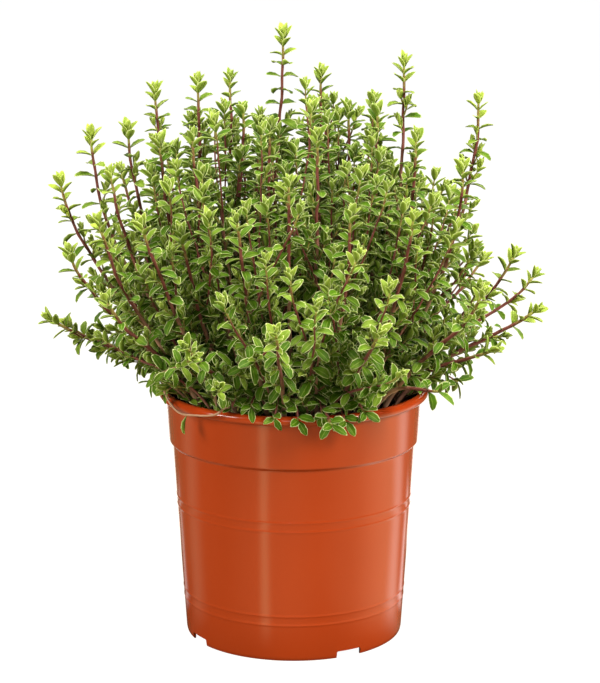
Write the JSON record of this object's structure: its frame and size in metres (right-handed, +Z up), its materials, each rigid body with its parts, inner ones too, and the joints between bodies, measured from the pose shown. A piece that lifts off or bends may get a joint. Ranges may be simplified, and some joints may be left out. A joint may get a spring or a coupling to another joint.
{
  "type": "potted marjoram",
  "caption": "Bushy potted marjoram: slender square leafy stems with small opposite blunt leaves, fanning from soil in a round tapered pot with a rolled lip and stepped collar.",
  "frame": {"origin": "on the ground under the middle of the pot, bottom centre of the bounding box", "axes": "+Z up along the pot's axis, -Y the front of the plant, +X to its right"},
  "size_m": [0.2446, 0.2208, 0.2952],
  "materials": {
    "pot_plastic": "glossy terracotta orange moulded polypropylene",
    "peat": "matt dark fibrous peat potting mix",
    "leaf_and_stem": "velvety grey-green leaves with pale margins on reddish stems"
  },
  "bodies": {
    "root": {"pot": "pot_plastic", "soil": "peat", "leafy_stem_01": "leaf_and_stem", "leafy_stem_02": "leaf_and_stem", "leafy_stem_03": "leaf_and_stem", "leafy_stem_04": "leaf_and_stem", "leafy_stem_05": "leaf_and_stem", "leafy_stem_06": "leaf_and_stem", "leafy_stem_07": "leaf_and_stem", "leafy_stem_08": "leaf_and_stem", "leafy_stem_09": "leaf_and_stem", "leafy_stem_10": "leaf_and_stem", "leafy_stem_11": "leaf_and_stem", "leafy_stem_12": "leaf_and_stem", "leafy_stem_13": "leaf_and_stem", "leafy_stem_14": "leaf_and_stem", "leafy_stem_15": "leaf_and_stem", "leafy_stem_16": "leaf_and_stem", "leafy_stem_17": "leaf_and_stem", "leafy_stem_18": "leaf_and_stem", "leafy_stem_19": "leaf_and_stem", "leafy_stem_20": "leaf_and_stem", "leafy_stem_21": "leaf_and_stem", "leafy_stem_22": "leaf_and_stem", "leafy_stem_23": "leaf_and_stem", "leafy_stem_24": "leaf_and_stem", "leafy_stem_25": "leaf_and_stem", "leafy_stem_26": "leaf_and_stem", "leafy_stem_27": "leaf_and_stem", "leafy_stem_28": "leaf_and_stem", "leafy_stem_29": "leaf_and_stem", "leafy_stem_30": "leaf_and_stem", "leafy_stem_31": "leaf_and_stem", "leafy_stem_32": "leaf_and_stem", "leafy_stem_33": "leaf_and_stem", "leafy_stem_34": "leaf_and_stem", "leafy_stem_35": "leaf_and_stem", "leafy_stem_36": "leaf_and_stem", "leafy_stem_37": "leaf_and_stem", "leafy_stem_38": "leaf_and_stem", "leafy_stem_39": "leaf_and_stem", "leafy_stem_40": "leaf_and_stem", "leafy_stem_41": "leaf_and_stem", "leafy_stem_42": "leaf_and_stem", "leafy_stem_43": "leaf_and_stem", "leafy_stem_44": "leaf_and_stem", "leafy_stem_45": "leaf_and_stem", "leafy_stem_46": "leaf_and_stem", "leafy_stem_47": "leaf_and_stem", "leafy_stem_48": "leaf_and_stem", "leafy_stem_49": "leaf_and_stem", "leafy_stem_50": "leaf_and_stem", "leafy_stem_51": "leaf_and_stem", "leafy_stem_52": "leaf_and_stem", "leafy_stem_53": "leaf_and_stem", "leafy_stem_54": "leaf_and_stem", "leafy_stem_55": "leaf_and_stem", "leafy_stem_56": "leaf_and_stem", "leafy_stem_57": "leaf_and_stem"}
  },
  "joints": []
}
